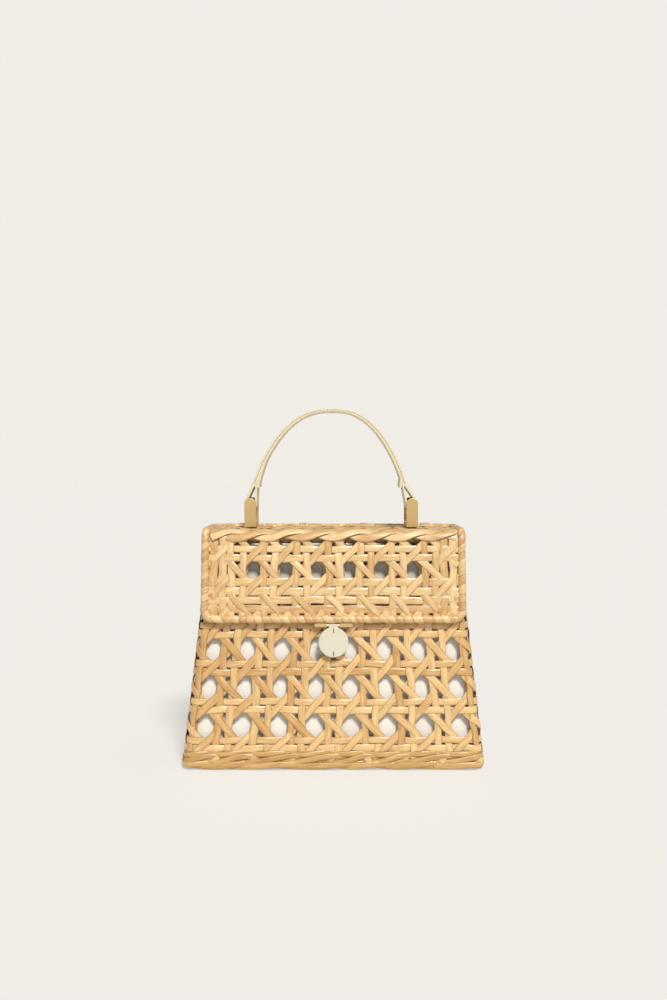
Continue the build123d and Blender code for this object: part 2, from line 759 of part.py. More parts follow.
# Clasp disc: round plate with a knuckle on top, two short slots and a magnet set in its back
disc_middle = Plane(
    drop_face.from_local_coords((0, disc_climb, 0)), x_dir=(1, 0, 0), z_dir=front_normal
)
with BuildPart() as clasp_disc:
    with BuildSketch(disc_middle):
        RegularPolygon(disc_radius, disc_sides)
    extrude(amount=disc_thickness / 2, both=True)
    front_side = clasp_disc.faces().sort_by(Axis(disc_middle.origin, disc_middle.z_dir))[-1]
    chamfer(front_side.edges(), disc_chamfer)
    with BuildSketch(clasp_side):
        RegularPolygon(knuckle_radius, rod_sides, major_radius=False, rotation=flat_turn)
        with Locations((-disc_drop + disc_radius - knuckle_radius, 0)):
            Rectangle(disc_drop - disc_radius + knuckle_radius, neck_thickness, align=(Align.MIN, Align.CENTER))
    extrude(amount=knuckle_length / 2, both=True)
    with BuildSketch(clasp_side):
        Circle(clasp_pin_radius + clasp_bore_slack)
    extrude(amount=knuckle_length, both=True, mode=Mode.SUBTRACT)
    with BuildSketch(disc_middle.offset(disc_thickness / 2)):
        with GridLocations(1, 2 * disc_radius - 2 * mark_inset - mark_length, 1, 2):
            Rectangle(mark_width, mark_length)
    extrude(amount=-mark_depth, mode=Mode.SUBTRACT)
    with BuildSketch(disc_middle.offset(-disc_thickness / 2)):
        RegularPolygon(magnet_radius + bore_slack, round_sides)
    extrude(amount=magnet_thickness, mode=Mode.SUBTRACT)
clasp_disc.part.label = "clasp_disc"
export_step(clasp_disc.part, "parts/clasp_disc.step")

with BuildPart() as clasp_magnet:
    with BuildSketch(disc_middle.offset(-disc_thickness / 2)):
        RegularPolygon(magnet_radius, round_sides)
    extrude(amount=magnet_thickness)
clasp_magnet.part.label = "clasp_magnet"
export_step(clasp_magnet.part, "parts/clasp_magnet.step")

# Strike: a steel plate on the front weave that the magnet holds to, riveted through to a washer
strike_thickness = flap_standoff - disc_thickness / 2 - seat_gap - upright_ridge
strike_plane = Plane(
    front_face.from_local_coords((0, strike_climb, upright_ridge)), x_dir=(1, 0, 0), z_dir=front_normal
)
inside_plane = strike_plane.offset(-upright_ridge - sheet)
with BuildPart() as strike_plate:
    with BuildSketch(strike_plane):
        RegularPolygon(strike_radius, 2 * round_sides)
    extrude(amount=strike_thickness)
    with BuildSketch(strike_plane):
        RegularPolygon(rivet_radius + bore_slack, screw_sides)
    extrude(amount=strike_seat, mode=Mode.SUBTRACT)
strike_plate.part.label = "strike_plate"
export_step(strike_plate.part, "parts/strike_plate.step")

with BuildPart() as strike_washer:
    with BuildSketch(inside_plane):
        RegularPolygon(washer_radius, round_sides)
        RegularPolygon(rivet_radius + bore_slack, screw_sides, mode=Mode.SUBTRACT)
    extrude(amount=-washer_thickness)
strike_washer.part.label = "strike_washer"
export_step(strike_washer.part, "parts/strike_washer.step")

with BuildPart() as strike_rivet:
    with BuildSketch(strike_plane.offset(strike_seat - bore_slack)):
        RegularPolygon(rivet_radius, screw_sides)
    extrude(amount=-(strike_seat - bore_slack + upright_ridge + sheet + washer_thickness))
    with BuildSketch(inside_plane.offset(-washer_thickness)):
        RegularPolygon(rivet_head_radius, round_sides)
    extrude(amount=-rivet_head)
strike_rivet.part.label = "strike_rivet"
export_step(strike_rivet.part, "parts/strike_rivet.step")
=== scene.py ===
import bpy
import math
import random
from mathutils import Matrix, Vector, geometry, noise


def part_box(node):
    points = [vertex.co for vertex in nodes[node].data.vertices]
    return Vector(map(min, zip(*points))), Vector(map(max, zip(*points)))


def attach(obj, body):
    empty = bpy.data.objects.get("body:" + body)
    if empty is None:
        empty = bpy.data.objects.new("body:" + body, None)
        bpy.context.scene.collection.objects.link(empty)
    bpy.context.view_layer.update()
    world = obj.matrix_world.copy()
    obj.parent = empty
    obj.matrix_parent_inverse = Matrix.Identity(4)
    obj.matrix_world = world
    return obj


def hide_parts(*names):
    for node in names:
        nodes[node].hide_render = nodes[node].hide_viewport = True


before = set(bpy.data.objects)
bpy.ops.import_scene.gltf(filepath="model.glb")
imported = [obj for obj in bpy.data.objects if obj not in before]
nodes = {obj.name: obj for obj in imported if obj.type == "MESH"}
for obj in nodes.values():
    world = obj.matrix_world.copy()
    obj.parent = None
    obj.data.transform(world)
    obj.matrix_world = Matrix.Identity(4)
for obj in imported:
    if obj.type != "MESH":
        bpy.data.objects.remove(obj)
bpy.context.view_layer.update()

# Camera: at the photograph's place, a little above the flap and looking slightly down,
# with its long side upright
bpy.ops.object.camera_add(location=(0.0, -0.832, 0.252), rotation=(math.radians(90 - 1.84), 0, 0))
camera = bpy.context.object
camera.data.lens = 33.6
camera.data.sensor_fit = "VERTICAL"
camera.data.sensor_height = 36
camera.data.sensor_width = 36
camera.data.clip_start = 0.05
camera.data.clip_end = 20
bpy.context.scene.camera = camera
bpy.context.scene.view_settings.view_transform = "Standard"
bpy.context.scene.view_settings.look = "None"


# Floor and backdrop: one seamless sweep of matt studio paper, warm off-white all over.
# Part of its brightness is its own glow, so it stays even and still takes the bag's shadow.
def srgb(text):
    """A colour written as in a paint program, as the linear numbers that the shader takes."""
    parts = [int(text[i:i + 2], 16) / 255 for i in (0, 2, 4)]
    return tuple(p / 12.92 if p <= 0.04045 else ((p + 0.055) / 1.055) ** 2.4 for p in parts) + (1,)


def new_material(name):
    """An empty material, with the tree and the shader that its finish is built on."""
    material = bpy.data.materials.new(name)
    material.use_nodes = True
    return material, material.node_tree, material.node_tree.nodes["Principled BSDF"]


def paper_material(name, diffuse, glow):
    """Matt paper without any shine."""
    material, tree, shader = new_material(name)
    shader.inputs["Base Color"].default_value = diffuse
    shader.inputs["Roughness"].default_value = 1.0
    shader.inputs["Specular IOR Level"].default_value = 0.0
    shader.inputs["Emission Color"].default_value = glow
    shader.inputs["Emission Strength"].default_value = 1.0
    return material


bpy.ops.mesh.primitive_plane_add(size=29, location=(0, 0, 0))
floor = bpy.context.object
floor.name = "floor"
floor.data.materials.append(paper_material("floor_paper", (0.42, 0.42, 0.42, 1), (0.412, 0.401, 0.384, 1)))
bpy.ops.mesh.primitive_uv_sphere_add(segments=48, ring_count=24, radius=14, location=(0, 0, 0))
backdrop = bpy.context.object
backdrop.name = "backdrop"
backdrop.data.materials.append(paper_material("backdrop_paper", (0, 0, 0, 1), srgb("f1ede7")))
backdrop.visible_diffuse = False
backdrop.visible_glossy = False
backdrop.visible_shadow = False

# Light: one large soft key from above in front, a little from the right, in a pale warm
# room that fills the shadows evenly
world = bpy.data.worlds.new("studio")
bpy.context.scene.world = world
world.use_nodes = True
world.node_tree.nodes["Background"].inputs["Color"].default_value = (1.0, 0.91, 0.80, 1)
world.node_tree.nodes["Background"].inputs["Strength"].default_value = 0.40
bpy.ops.object.light_add(type="SUN", location=(0.4, -1.2, 1.4))
key = bpy.context.object
key.rotation_euler = Vector((0.32, -1.0, 1.2)).to_track_quat("Z", "Y").to_euler()
key.data.energy = 2.95
key.data.color = (1.0, 0.985, 0.95)
key.data.angle = math.radians(14)


# Body weave: the bag's four walls, open caning of split rattan peel with octagonal gaps.
# Uprights and crossers run in pairs, and two sets of slants bind them. The weave is laid
# wet over the frame in one go, so crossers and slants turn the rounded corners unbroken.
random.seed(11)
mm = 0.001


def add_node(tree, kind, inputs=None, **settings):
    """Adds a shader node, sets its options and fills or links its inputs."""
    node = tree.nodes.new(kind)
    for name, value in settings.items():
        setattr(node, name, value)
    for name, value in (inputs or {}).items():
        if isinstance(value, bpy.types.NodeSocket):
            tree.links.new(value, node.inputs[name])
        else:
            node.inputs[name].default_value = value
    return node


def cane_material(name, light, deep, dark):
    """Split cane: a glossy straw skin with fibre streaks along each strand, darkened at its sides.

    The map along counts steps of 6 mm along a strand and goes once round it, so the fibres come
    out about 1 mm wide, coarser than real ones so that they show, and 17 mm long. The attribute
    tint sets each strand's own tone, and edge marks its sides, where the colour is drawn towards
    dark as painted shade in the seams between strands and turns."""
    fibre_stretch, patch_stretch = (0.12, 4.2, 1), (0.35, 1.5, 1)
    material, tree, shader = new_material(name)
    place = add_node(tree, "ShaderNodeUVMap", uv_map="along")
    stretched = add_node(tree, "ShaderNodeMapping", {"Vector": place.outputs[0], "Scale": fibre_stretch})
    fibre = add_node(tree, "ShaderNodeTexNoise",
                     {"Vector": stretched.outputs[0], "Scale": 3.0, "Detail": 3.0, "Roughness": 0.6})
    wide = add_node(tree, "ShaderNodeMapping", {"Vector": place.outputs[0], "Scale": patch_stretch})
    patches = add_node(tree, "ShaderNodeTexNoise", {"Vector": wide.outputs[0], "Scale": 1.6, "Detail": 2.0})
    tint = add_node(tree, "ShaderNodeAttribute", attribute_name="tint")
    mixed = add_node(tree, "ShaderNodeMath", {0: fibre.outputs["Fac"], 1: 0.62}, operation="MULTIPLY")
    mixed = add_node(tree, "ShaderNodeMath",
                     {0: patches.outputs["Fac"], 1: 0.26, 2: mixed.outputs[0]}, operation="MULTIPLY_ADD")
    mixed = add_node(tree, "ShaderNodeMath",
                     {0: tint.outputs["Fac"], 1: 0.24, 2: mixed.outputs[0]}, operation="MULTIPLY_ADD")
    ramp = add_node(tree, "ShaderNodeValToRGB", {"Fac": mixed.outputs[0]})
    ramp.color_ramp.elements[0].position = 0.34
    ramp.color_ramp.elements[0].color = srgb(deep)
    ramp.color_ramp.elements[1].position = 0.74
    ramp.color_ramp.elements[1].color = srgb(light)
    # Painted shade: each strand's sides are mixed towards the dark colour, standing in for the shade between
    # strands
    shade_attribute = add_node(tree, "ShaderNodeAttribute", attribute_name="edge")
    shade_share = add_node(
        tree, "ShaderNodeMapRange",
        {"Value": shade_attribute.outputs["Fac"], "From Min": 0.35, "From Max": 1.0, "To Min": 0.0, "To Max": 0.75})
    painted_edge_shade = add_node(tree, "ShaderNodeMix",
                    {"Factor": shade_share.outputs[0], 6: ramp.outputs["Color"], 7: srgb(dark)}, data_type="RGBA")
    tree.links.new(painted_edge_shade.outputs[2], shader.inputs["Base Color"])
    rough = add_node(
        tree, "ShaderNodeMapRange", {"Value": fibre.outputs["Fac"], "To Min": 0.3, "To Max": 0.5})
    tree.links.new(rough.outputs[0], shader.inputs["Roughness"])
    ridge = add_node(
        tree, "ShaderNodeBump", {"Height": fibre.outputs["Fac"], "Strength": 0.6, "Distance": 0.0004})
    tree.links.new(ridge.outputs[0], shader.inputs["Normal"])
    shader.inputs["Coat Weight"].default_value = 0.5
    shader.inputs["Coat Roughness"].default_value = 0.2
    return material


def directions(path, outs, i, closed):
    """Across and outward directions of a ribbon or rod at one place of its path."""
    count = len(path)
    ahead = path[(i + 1) % count] if closed or i < count - 1 else path[i]
    behind = path[i - 1] if closed or i > 0 else path[i]
    along = (ahead - behind).normalized()
    across = along.cross(outs[i]).normalized()
    return across, across.cross(along).normalized()


def lay_strand(store, places, outs, width, thick, tint, closed=False):
    """Adds one shallow domed ribbon that follows places, its peel facing outs, to a mesh's lists."""
    verts, faces, uvs, tints, painted_edge_shade = store
    first, count = len(verts), len(places)
    shape = ((-0.5, -0.1), (-0.43, 0.3), (-0.2, 0.46), (0.2, 0.46), (0.43, 0.3), (0.5, -0.1), (0, -0.42))
    # Painted shade at each point of the cross-section: full at the sides and underneath, none on the crown
    painted_side_shade = (1, 0.5, 0, 0, 0.5, 1, 1)
    ring, map_step = len(shape), 6
    run = random.uniform(0, 50)
    lengths = []
    for i, place in enumerate(places):
        across, out = directions(places, outs, i, closed)
        if i:
            run += (place - places[i - 1]).length / mm
        lengths.append(run)
        for (side, rise), edge in zip(shape, painted_side_shade):
            verts.append(place + across * (side * width) + out * (rise * thick))
            tints.append(tint)
            painted_edge_shade.append(edge)
    for i in range(count if closed else count - 1):
        j = (i + 1) % count
        here, there = first + i * ring, first + j * ring
        near, far = lengths[i] / map_step, (lengths[j] if j else lengths[i] + 2) / map_step
        for k in range(ring):
            m = (k + 1) % ring
            faces.append((here + k, here + m, there + m, there + k))
            low = k / ring
            uvs.extend(((near, low), (near, low + 1 / ring), (far, low + 1 / ring), (far, low)))
    if not closed:
        faces.append(tuple(first + k for k in reversed(range(ring))))
        faces.append(tuple(first + (count - 1) * ring + k for k in range(ring)))
        uvs.extend(((run / map_step, 0.5),) * (2 * ring))


def pick(piece):
    """Selects one piece alone and makes it the active one."""
    bpy.ops.object.select_all(action="DESELECT")
    piece.select_set(True)
    bpy.context.view_layer.objects.active = piece


def make_piece(name, verts, faces, material):
    """Makes an object from a mesh's points and faces."""
    mesh = bpy.data.meshes.new(name)
    mesh.from_pydata([tuple(v) for v in verts], [], faces)
    mesh.materials.append(material)
    piece = bpy.data.objects.new(name, mesh)
    bpy.context.collection.objects.link(piece)
    return piece


def face_outwards(piece):
    """Picks one piece and turns every face of it outwards."""
    pick(piece)
    bpy.ops.object.mode_set(mode="EDIT")
    bpy.ops.mesh.select_all(action="SELECT")
    bpy.ops.mesh.normals_make_consistent(inside=False)
    bpy.ops.object.mode_set(mode="OBJECT")


def finish_strands(name, store, material, body, slot, *stands_for):
    """Makes the piece from a filled store, smooth along its strands, and hangs it on its body."""
    verts, faces, uvs, tints, painted_edge_shade = store
    piece = make_piece(name, verts, faces, material)
    layer = piece.data.uv_layers.new(name="along")
    layer.data.foreach_set("uv", [c for uv in uvs for c in uv])
    # tint is each strand's own tone; edge is the painted shade at its sides
    for attribute, values in (("tint", tints), ("edge", painted_edge_shade)):
        shade = piece.data.attributes.new(attribute, "FLOAT", "POINT")
        shade.data.foreach_set("value", values)
    face_outwards(piece)
    bpy.ops.object.shade_smooth_by_angle(angle=math.radians(62))
    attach(piece, body)
    if stands_for:
        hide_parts(*stands_for)


def evenly(low, high, steps):
    """Numbers from low to high, both ends included."""
    return [low + (high - low) * i / steps for i in range(steps + 1)]


def wave(t):
    """A dip and a rise beside each other, as a strand makes going under one and over the next."""
    return t * math.exp((1 - t * t) / 2)


def wander(seed, walk, reach):
    """A slow hand-made drift along a strand, the same on every run."""
    slow, quick = Vector((seed, walk * 0.035, 3.1)), Vector((seed, walk * 0.11, 9.7))
    return reach * (noise.noise(slow) + 0.5 * noise.noise(quick))


body_height, foot_width, head_width, foot_depth, head_depth, corner = 196, 254, 212, 112, 68, 9
first_row, row_pitch, columns = 37.0, 31.7, 22
front_columns, front_middle, back_middle = 8, 4, 15
front_lean = math.atan2((foot_depth - head_depth) / 2, body_height)
side_lean = math.atan2((foot_width - head_width) / 2, body_height)


def width_at(height):
    """Width of the walls at a height."""
    return foot_width + (head_width - foot_width) * height / body_height


def depth_at(height):
    """Depth of the walls at a height."""
    return foot_depth + (head_depth - foot_depth) * height / body_height


def wall_place(turn, height):
    """Place and outward direction on the walls, a number of gap columns round from the left front."""
    half_width, half_depth = width_at(height) / 2, depth_at(height) / 2
    before_seam = columns - back_middle
    turn = (turn + before_seam) % columns - before_seam
    mirror = 1
    if turn < front_middle:
        turn = 2 * front_middle - turn
        mirror = -1
    bend = math.pi * corner / 2
    straight, side = half_width - corner, 2 * (half_depth - corner)
    side_middle = straight + bend + side / 2
    half_round = 2 * straight + 2 * bend + side
    side_column = (2 * half_depth - corner) / 3
    outer_column = 0.875 * half_width
    knots = (
        (front_middle, 0), (7.5, outer_column), (8.5, side_middle - side_column),
        (10.5, side_middle + side_column), (11.5, half_round - outer_column), (back_middle, half_round))
    for (u0, s0), (u1, s1) in zip(knots, knots[1:]):
        if turn <= u1:
            walk = s0 + (s1 - s0) * (turn - u0) / (u1 - u0)
            break
    if walk < straight:
        x, y, nx, ny = walk, -half_depth, 0, -1
    elif walk < straight + bend:
        a = (walk - straight) / corner
        nx, ny = math.sin(a), -math.cos(a)
        x, y = straight + corner * nx, -(half_depth - corner) + corner * ny
    elif walk < straight + bend + side:
        x, y, nx, ny = half_width, walk - straight - bend - side / 2, 1, 0
    elif walk < straight + 2 * bend + side:
        a = (walk - straight - bend - side) / corner
        nx, ny = math.cos(a), math.sin(a)
        x, y = straight + corner * nx, half_depth - corner + corner * ny
    else:
        x, y, nx, ny = half_round - walk, half_depth, 0, 1
    up = abs(nx) * math.tan(side_lean) + abs(ny) * math.tan(front_lean)
    return Vector((mirror * x, y, height)), Vector((mirror * nx, ny, up)).normalized()


def wall_strand(store, path, width):
    """One strand on the walls from its (turn, height, rise) places, a little off true as a hand lays it."""
    mean_column, crosser_drift, upright_drift = 29, 1.3, 2.2
    places, outs = [], []
    seed = random.uniform(0, 900)
    level = abs(path[-1][1] - path[0][1]) < 1
    for i, (turn, height, rise) in enumerate(path):
        walk = turn * mean_column if level else height
        fade = min(1, i / 6, (len(path) - 1 - i) / 6) if level else 1
        drift = wander(seed, walk, crosser_drift if level else upright_drift) * fade
        if level:
            place, out = wall_place(turn, height + drift)
        else:
            place, out = wall_place(turn + drift / mean_column, height)
        side_bulge = 0.9 * abs(out.x)
        lift = rise + side_bulge - 0.3 + wander(seed + 40, walk, 0.5) * fade
        places.append((place + out * lift) * mm)
        outs.append(out)
    width *= random.uniform(0.92, 1.08)
    closed = abs(path[-1][0] - path[0][0]) > columns - 1
    lay_strand(store, places, outs, width * mm, 1.25 * mm, random.random(), closed)


walls = ([], [], [], [], [])
strand_foot, strand_head = 7.0, 189.4
upright_half, upright_width = 5.1, 6.3
crosser_half, crosser_width = 3.3, 6.0
slant_width, bow, slant_bow = 6.3, 0.58, 1.0
for column in range(columns):
    for side in (-1, 1):
        path = []
        for height in evenly(strand_foot, strand_head, 84):
            across = width_at(height) / front_columns
            row = (height - first_row) / row_pitch
            nearest = round(row - 0.5) + 0.5
            rise = -side * bow * wave((row - nearest) / 0.123)
            path.append((column + side * upright_half / across, height, rise))
        wall_strand(walls, path, upright_width)
for row in range(-1, 5):
    for side in (-1, 1):
        height = first_row + (row + 0.5) * row_pitch + side * crosser_half
        across = width_at(height) / front_columns
        path = []
        for turn in evenly(0, columns, 330)[:-1]:
            path.append((turn, height, side * bow * wave((turn - round(turn)) / (5.2 / across))))
        wall_strand(walls, path, crosser_width)
for start in range(columns):
    for slant in (-1, 1):
        path = []
        for height in evenly(strand_foot, strand_head, 109):
            row = (height - first_row) / row_pitch
            path.append((start + slant * row, height, -slant * slant_bow * math.cos(2 * math.pi * row)))
        wall_strand(walls, path, slant_width)
body_cane = cane_material("body_cane", "e9c88f", "b9874a", "744a20")
finish_strands(
    "body_weave", walls, body_cane, "body", "woven_cane",
    "front_weave", "back_weave", "left_side_weave", "right_side_weave")

# Flap weave: the lid's open caning, the same split peel but a shade paler, woven on the
# flap's own rods: over the top, round the bend and down in front. Crossers are packed
# close below the front's row of gaps, and two strands twine along the bend to hold it.
standoff, bend_radius, hinge_height, hinge_back, drop = 4.9, 9.0, 199.8, 30.893, 73.8
lower_height = hinge_height - drop
turned = math.pi / 2 - front_lean
tangent = bend_radius * math.tan(turned / 2)
bend_start = hinge_height / math.cos(front_lean) - tangent


def drop_back(height):
    """How far forward the flap's drop stands at a height, as a y place."""
    return -depth_at(height) / 2 - standoff / math.cos(front_lean)


bend_back = drop_back(hinge_height) + tangent


def flap_point(x, climb, rise):
    """Place and outward direction on the flap, a way up its drop, round the bend and along its top."""
    angle = (climb - bend_start) / bend_radius
    if angle <= 0:
        height = climb * math.cos(front_lean)
        place = Vector((x, drop_back(height), height))
        out = Vector((0, -math.cos(front_lean), math.sin(front_lean)))
    elif angle < turned:
        out = Vector((0, -math.cos(front_lean + angle), math.sin(front_lean + angle)))
        place = Vector((x, bend_back, hinge_height - bend_radius)) + out * bend_radius
    else:
        place, out = Vector((x, bend_back + bend_radius * (angle - turned), hinge_height)), Vector((0, 0, 1))
    return (place + out * rise) * mm, out


def flap_strand(store, path, width):
    """One strand on the flap from its (x, climb, rise) places, with the same small drift."""
    crosser_drift, upright_drift = 1.1, 1.9
    places, outs = [], []
    seed = random.uniform(0, 900)
    level = abs(path[-1][1] - path[0][1]) < 12
    for x, climb, rise in path:
        walk = x if level else climb
        drift = wander(seed, walk, crosser_drift if level else upright_drift)
        lift = rise + 0.3 + wander(seed + 40, walk, 0.4)
        place, out = flap_point(x, climb + drift, lift) if level else flap_point(x + drift, climb, lift)
        places.append(place)
        outs.append(out)
    lay_strand(store, places, outs, width * random.uniform(0.92, 1.08) * mm, 1.2 * mm, random.random())


flap = ([], [], [], [], [])
flap_pitch, flap_first, flap_bow, reach = 27.3, 168.6, 0.55, 106
climb_low = lower_height / math.cos(front_lean) + 1
climb_high = bend_start + bend_radius * turned + (hinge_back - bend_back) - 1
for column in range(-3, 4):
    for side in (-1, 1):
        path = []
        for climb in evenly(climb_low, climb_high, 100):
            row = (climb - flap_first) / flap_pitch
            rise = -side * flap_bow * wave((row - (round(row - 0.5) + 0.5)) / 0.143)
            path.append((column * flap_pitch + side * 4.7, climb, rise))
        flap_strand(flap, path, 6.3)
for side in (-1, 1):
    for number, edge_x in enumerate((93.9, 101.6)):
        path = []
        for climb in evenly(climb_low, climb_high, 100):
            rise = 0.35 * math.cos(2 * math.pi * (climb - flap_first) / (flap_pitch / 2) + number * math.pi)
            path.append((side * edge_x, climb, rise))
        flap_strand(flap, path, 7.2)
paired = [(flap_first + (row + 0.5) * flap_pitch + side * 3.9, side) for row in range(4) for side in (-1, 1)]
crossers = [(climb, side) for climb, side in paired if not 198 < climb < 205]
packed_below = 160
crossers += [(158.0, 1), (150.2, -1), (142.7, 1), (135.0, -1)]
for climb, side in crossers:
    path = []
    for x in evenly(-reach, reach, 110):
        column = x / flap_pitch
        inner = flap_bow * wave((column - round(column)) / 0.19)
        path.append((x, climb, side * (inner if abs(x) < 88 else 0.3 * math.cos(x * 0.4))))
    flap_strand(flap, path, 7.1 if climb < packed_below else 5.9)
for start in range(-9, 12):
    for slant in (-1, 1):
        path = []
        for climb in evenly(climb_low - 1.5, climb_high, 120):
            row = (climb - flap_first) / flap_pitch
            x = start * flap_pitch + slant * row * flap_pitch
            if abs(x) < reach:
                path.append((x, climb, -slant * 0.85 * math.cos(2 * math.pi * row)))
        if len(path) > 6:
            flap_strand(flap, path, 6.0)
bend_reach, single_climb, twine_climb, twine_half = 104, 205.6, 198.2, 2.9
flap_strand(flap, [(x, single_climb, 0.5) for x in evenly(-bend_reach, bend_reach, 110)], 6.0)
for strand in (0, 1):
    path = []
    for x in evenly(-bend_reach, bend_reach, 160):
        twist = math.pi * (x / flap_pitch + 0.5 + strand)
        path.append((x, twine_climb + twine_half * math.sin(twist), 1.2 + 0.9 * math.cos(twist)))
    flap_strand(flap, path, 6.6)
flap_cane = cane_material("flap_cane", "eccf9b", "be8e54", "7a5126")
finish_strands("flap_weave", flap, flap_cane, "flap", "woven_cane", "flap_top_weave", "flap_front_weave")


# Wrapped rims: round rattan rods that edge the flap and the mouth of the bag, each bent to
# its loop and bound with one long split of cane that climbs round and round, edge to edge.
# The flap's rear rod is thinner, and is the one that turns in the lashings.
def wrap_rod(store, path, outs, radius, pitch, slim=0):
    """Adds a closed rod along path whose skin steps from turn to turn of its wrapping."""
    verts, faces, uvs, tints, painted_edge_shade = store
    first, count, ring, lift = len(verts), len(path), 24, 0.55
    run = 0
    runs = []
    for i, place in enumerate(path):
        across, out = directions(path, outs, i, True)
        if i:
            run += (place - path[i - 1]).length / mm
        runs.append(run)
        rear = min(1, max(0, (place.y / mm - 15) / 12))
        full = radius * (1 - slim * rear)
        for k in range(ring):
            angle = 2 * math.pi * k / ring
            laid = run / pitch + k / ring + 0.7 * noise.noise(Vector((run * 0.035, k / ring, 4.4)))
            part = laid % 1
            bulge = lift * (math.sin(math.pi * part) ** 0.4 - 0.7)
            bulge += 0.25 * noise.noise(Vector((math.floor(laid) * 3.7, 0.5, 1.5)))
            verts.append(place + (across * math.cos(angle) + out * math.sin(angle)) * (full + bulge) * mm)
            tints.append((math.floor(laid) * 0.37 + 0.21) % 1)
            # Painted shade in the seam between one turn of the wrapping and the next
            painted_edge_shade.append(max(0, 1 - 2.6 * math.sin(math.pi * part)))
    for i in range(count):
        j = (i + 1) % count
        here, there = first + i * ring, first + j * ring
        near, far = runs[i], runs[j] if j else runs[i] + 1
        for k in range(ring):
            m = (k + 1) % ring
            faces.append((here + k, here + m, there + m, there + k))
            for run_at, around in ((near, k), (near, k + 1), (far, k + 1), (far, k)):
                uvs.append((around / ring * 3.4 - run_at / pitch * 0.2, run_at / pitch + around / ring))


def rounded_route(corners, radii, step):
    """Evenly spaced places round a loop of straight runs whose corners are turned on true arcs."""
    route = []
    for i, place in enumerate(corners):
        here = Vector(place)
        arriving = (here - Vector(corners[i - 1])).normalized()
        leaving = (Vector(corners[(i + 1) % len(corners)]) - here).normalized()
        turn = arriving.angle(leaving)
        middle = here + (leaving - arriving).normalized() * (radii[i] / math.cos(turn / 2))
        start = here - arriving * (radii[i] * math.tan(turn / 2))
        for k in range(9):
            a = turn * k / 8
            route.append(middle + (start - middle) * math.cos(a) + arriving * (radii[i] * math.sin(a)))
    spaced = []
    for a, b in zip(route, route[1:] + route[:1]):
        parts = max(1, round((b - a).length / step))
        spaced += [a + (b - a) * (k / parts) for k in range(parts)]
    return spaced


rod_cane = cane_material("rod_cane", "ecce9a", "b9874a", "6c431c")
half, lower_back, bend_front = 109, drop_back(lower_height), drop_back(hinge_height)
flap_route = rounded_route(
    [(-half, hinge_back, hinge_height), (-half, bend_front, hinge_height), (-half, lower_back, lower_height),
     (half, lower_back, lower_height), (half, bend_front, hinge_height), (half, hinge_back, hinge_height)],
    [8, bend_radius, 8, 8, bend_radius, 8], 0.55)
inside_flap = Vector((0, -10, 175))
rims = ([], [], [], [], [])
flap_outs = [(p - inside_flap).normalized() for p in flap_route]
wrap_rod(rims, [p * mm for p in flap_route], flap_outs, 3.35, 7.2, 0.2)
finish_strands(
    "flap_rim_wrapping", rims, rod_cane, "flap", "cane_rod",
    "flap_left_rim", "flap_right_rim", "flap_lower_rim", "flap_rear_rod")

rim_height = 192.5
rim_half = width_at(rim_height) / 2 - 3.5
rim_route = rounded_route(
    [(-rim_half, hinge_back, rim_height), (-rim_half, -hinge_back, rim_height),
     (rim_half, -hinge_back, rim_height), (rim_half, hinge_back, rim_height)], [5.5] * 4, 0.6)
rims = ([], [], [], [], [])
rim_outs = [Vector((p.x, p.y, 0)).normalized() for p in rim_route]
wrap_rod(rims, [p * mm for p in rim_route], rim_outs, 3.3, 7.4)
finish_strands("top_rim_wrapping", rims, rod_cane, "body", "cane_rod", "top_rim")

# Base twining: the band on which the bag stands, thick splits of darker cane. Each course
# is two splits that cross in long waves in and out of the uprights' ends, pressed down
# wet, and one flat strand closes the band at its top.
band_cane = cane_material("band_cane", "d9b574", "a97838", "5c3716")
band_x, band_y = foot_width / 2, foot_depth / 2
band_route = rounded_route(
    [(-band_x, band_y, 0), (-band_x, -band_y, 0), (band_x, -band_y, 0), (band_x, band_y, 0)], [9.2] * 4, 2.0)
length = sum((b - a).length for a, b in zip(band_route, band_route[1:] + band_route[:1]))
courses = ([], [], [], [], [])
for height, swing, width, thick, turns, start in (
    (4.3, 1.25, 5.8, 2.9, 9, 0.1), (8.9, 2.6, 5.2, 2.4, 11, 0.62), (13.6, 0.35, 4.7, 1.6, 22, 0.3)
):
    for strand in (0, 1) if swing > 1 else (0,):
        places, outs = [], []
        walked = 0
        for i, place in enumerate(band_route):
            walked += (place - band_route[i - 1]).length if i else 0
            lap = walked / length
            uneven = 0.5 * math.sin(2 * math.pi * 5 * lap + strand)
            phase = 2 * math.pi * (turns * lap + strand / 2 + start) + uneven
            ahead = band_route[(i + 1) % len(band_route)] - band_route[i - 1]
            out = Vector((-ahead.y, ahead.x, 0)).normalized()
            out = out if out.dot(place) > 0 else -out
            sway = 0.35 * math.sin(2 * math.pi * 9 * lap + 2 * strand + height)
            up = Vector((0, 0, height + swing * math.sin(phase) + sway))
            places.append((place + out * (1.05 * math.cos(phase) - 1.1) + up) * mm)
            outs.append(out)
        lay_strand(courses, places, outs, width * mm, thick * mm, random.random() * 0.8, True)
finish_strands("base_twining", courses, band_cane, "body", "binding_cane", "base_band")

# Base mat: the bag's bottom, the walls' open caning laid flat inside the band, with the
# ends of its strands tucked under the twining. It stays clear of the table.
mat = ([], [], [], [], [])
mat_height, mat_pitch, mat_x, mat_y = 2.9, 31, 126, 55


def mat_strand(path, width):
    """One strand of the mat from its (x, y, rise) places, peel side down."""
    places = [Vector((x, y, mat_height - rise)) * mm for x, y, rise in path]
    lay_strand(mat, places, [Vector((0, 0, -1))] * len(places), width * mm, 1.1 * mm, random.random())


